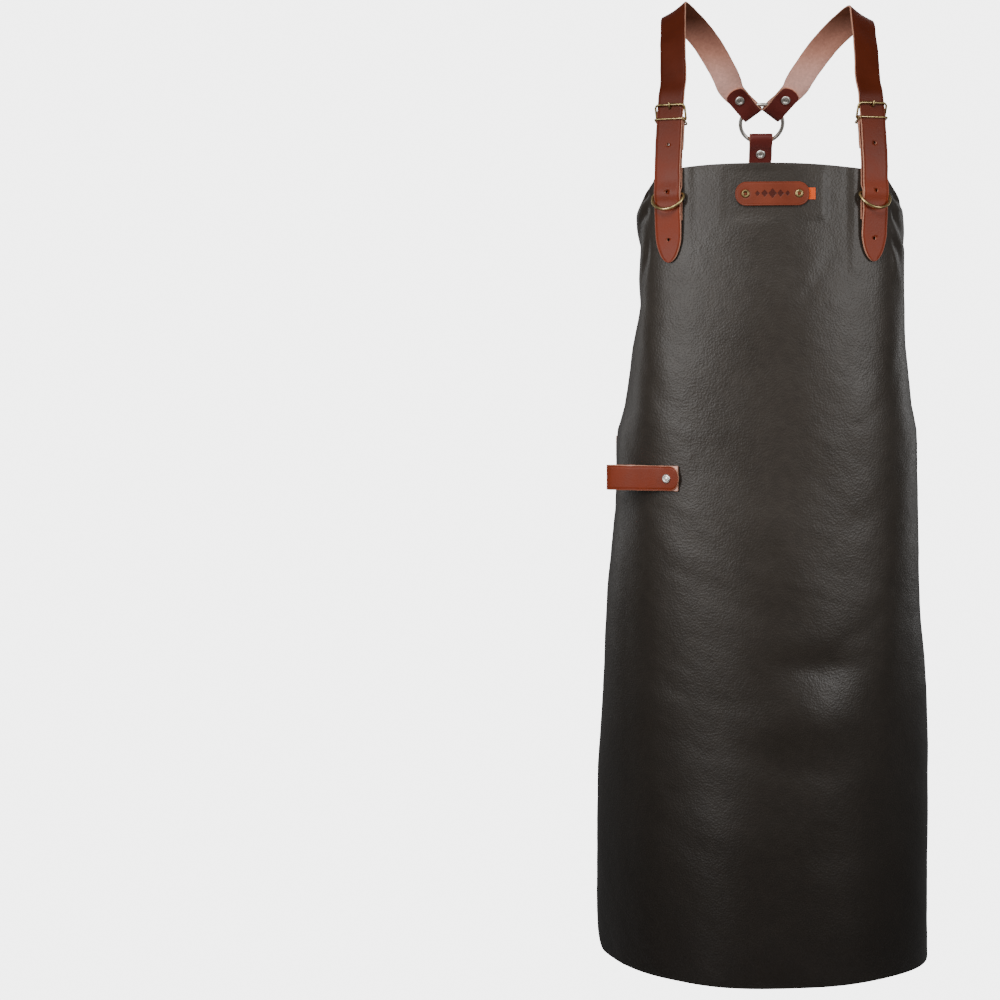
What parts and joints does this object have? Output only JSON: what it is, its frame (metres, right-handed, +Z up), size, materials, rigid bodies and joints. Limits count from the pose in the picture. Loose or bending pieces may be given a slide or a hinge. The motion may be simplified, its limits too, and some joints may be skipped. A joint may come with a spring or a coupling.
{
  "type": "butcher apron",
  "caption": "Full-length leather bib apron worn on crossed shoulder straps with buckles, D-rings, a back O-ring, a waist strap and a side towel loop.",
  "frame": {"origin": "midway between the two places where the shoulder straps cross the wearer shoulders", "axes": "+Z up, the front of the apron faces -Y, +X to the right as seen from the front"},
  "size_m": [0.4318, 0.3095, 1.2146],
  "materials": {
    "panel_leather": "dark grey-brown pebbled leather, semi-matt",
    "strap_leather": "red-brown smooth bridle leather with pale raw edges",
    "antique_brass": "antique brass wire",
    "nickel": "polished nickel",
    "woven_ribbon": "orange woven ribbon"
  },
  "bodies": {
    "root": {"apron_panel": "panel_leather", "back_loop_rivet_back_cap": "nickel", "back_loop_rivet_cap": "nickel", "back_strap": "strap_leather", "bib_lower_rivet_left_back_cap": "nickel", "bib_lower_rivet_left_cap": "nickel", "bib_lower_rivet_right_back_cap": "nickel", "bib_lower_rivet_right_cap": "nickel", "bib_upper_rivet_left_back_cap": "nickel", "bib_upper_rivet_left_cap": "nickel", "bib_upper_rivet_right_back_cap": "nickel", "bib_upper_rivet_right_cap": "nickel", "buckle_left_rivet_back_cap": "nickel", "buckle_left_rivet_cap": "nickel", "buckle_right_rivet_back_cap": "nickel", "buckle_right_rivet_cap": "nickel", "buckle_strap_left": "strap_leather", "buckle_strap_right": "strap_leather", "patch": "strap_leather", "patch_rivet_left": "antique_brass", "patch_rivet_left_washer": "antique_brass", "patch_rivet_right": "antique_brass", "patch_rivet_right_washer": "antique_brass", "ring_rivet_centre_back_cap": "nickel", "ring_rivet_centre_cap": "nickel", "ring_rivet_left_back_cap": "nickel", "ring_rivet_left_cap": "nickel", "ring_rivet_right_back_cap": "nickel", "ring_rivet_right_cap": "nickel", "shoulder_strap_left": "strap_leather", "shoulder_strap_right": "strap_leather", "side_tag": "woven_ribbon", "towel_loop_rivet_back_cap": "nickel", "towel_loop_rivet_cap": "nickel", "waist_buckle_rivet_back_cap": "nickel", "waist_buckle_rivet_cap": "nickel", "waist_buckle_strap": "strap_leather", "waist_rivet_left_back_cap": "nickel", "waist_rivet_left_cap": "nickel", "waist_rivet_right_back_cap": "nickel", "waist_rivet_right_cap": "nickel", "waist_strap": "strap_leather"},
    "buckle_left_frame_body": {"buckle_left_frame": "antique_brass"},
    "buckle_left_keeper_body": {"buckle_left_keeper": "antique_brass"},
    "buckle_left_tongue_body": {"buckle_left_tongue": "antique_brass"},
    "buckle_right_frame_body": {"buckle_right_frame": "antique_brass"},
    "buckle_right_keeper_body": {"buckle_right_keeper": "antique_brass"},
    "buckle_right_tongue_body": {"buckle_right_tongue": "antique_brass"},
    "d_ring_left_body": {"d_ring_left": "antique_brass"},
    "d_ring_right_body": {"d_ring_right": "antique_brass"},
    "o_ring_body": {"o_ring": "nickel"},
    "towel_loop_body": {"towel_loop": "strap_leather"},
    "waist_buckle_frame_body": {"waist_buckle_frame": "antique_brass"},
    "waist_buckle_keeper_body": {"waist_buckle_keeper": "antique_brass"},
    "waist_buckle_tongue_body": {"waist_buckle_tongue": "antique_brass"}
  },
  "joints": [
    {"name": "buckle_left_tilt", "type": "hinge", "parent": "root", "child": "buckle_left_frame_body", "pos_m": [-0.12128, -0.07791, -0.1455], "axis": [0.9226, -0.3857, 0.0054], "range_deg": [0, 6]},
    {"name": "tongue_left_lift", "type": "hinge", "parent": "buckle_left_frame_body", "child": "buckle_left_tongue_body", "pos_m": [-0.12128, -0.07791, -0.1455], "axis": [0.9226, -0.3857, 0.0054], "range_deg": [0, 8]},
    {"name": "keeper_left_slide", "type": "slide", "parent": "root", "child": "buckle_left_keeper_body", "axis": [-0.0455, -0.1301, -0.9905], "range_m": [0, 0.008]},
    {"name": "d_ring_left_swing", "type": "hinge", "parent": "root", "child": "d_ring_left_body", "pos_m": [-0.12464, -0.08842, -0.236], "axis": [-0.9152, 0.4031, 0], "range_deg": [0, 100]},
    {"name": "buckle_right_tilt", "type": "hinge", "parent": "root", "child": "buckle_right_frame_body", "pos_m": [0.12128, -0.07791, -0.1455], "axis": [0.9226, 0.3857, -0.0054], "range_deg": [0, 6]},
    {"name": "tongue_right_lift", "type": "hinge", "parent": "buckle_right_frame_body", "child": "buckle_right_tongue_body", "pos_m": [0.12128, -0.07791, -0.1455], "axis": [0.9226, 0.3857, -0.0054], "range_deg": [0, 8]},
    {"name": "keeper_right_slide", "type": "slide", "parent": "root", "child": "buckle_right_keeper_body", "axis": [0.0455, -0.1301, -0.9905], "range_m": [0, 0.008]},
    {"name": "d_ring_right_swing", "type": "hinge", "parent": "root", "child": "d_ring_right_body", "pos_m": [0.12464, -0.08842, -0.236], "axis": [-0.9152, -0.4031, 0], "range_deg": [0, 100]},
    {"name": "waist_buckle_tilt", "type": "hinge", "parent": "root", "child": "waist_buckle_frame_body", "pos_m": [-0.10896, 0.12351, -0.553], "axis": [0, 0, 1], "range_deg": [0, 4]},
    {"name": "waist_tongue_lift", "type": "hinge", "parent": "waist_buckle_frame_body", "child": "waist_buckle_tongue_body", "pos_m": [-0.10896, 0.12351, -0.553], "axis": [0, 0, 1], "range_deg": [0, 6]},
    {"name": "waist_keeper_slide", "type": "slide", "parent": "root", "child": "waist_buckle_keeper_body", "axis": [-0.9344, -0.3561, 0], "range_m": [0, 0.004]},
    {"name": "o_ring_turn", "type": "hinge", "parent": "root", "child": "o_ring_body", "pos_m": [0, 0.113, -0.133], "axis": [0, 0.8387, 0.5446], "continuous": true},
    {"name": "towel_loop_swivel", "type": "hinge", "parent": "root", "child": "towel_loop_body", "pos_m": [-0.12461, -0.09474, -0.585], "axis": [-0.4551, -0.8904, 0], "range_deg": [-8, 8]}
  ]
}
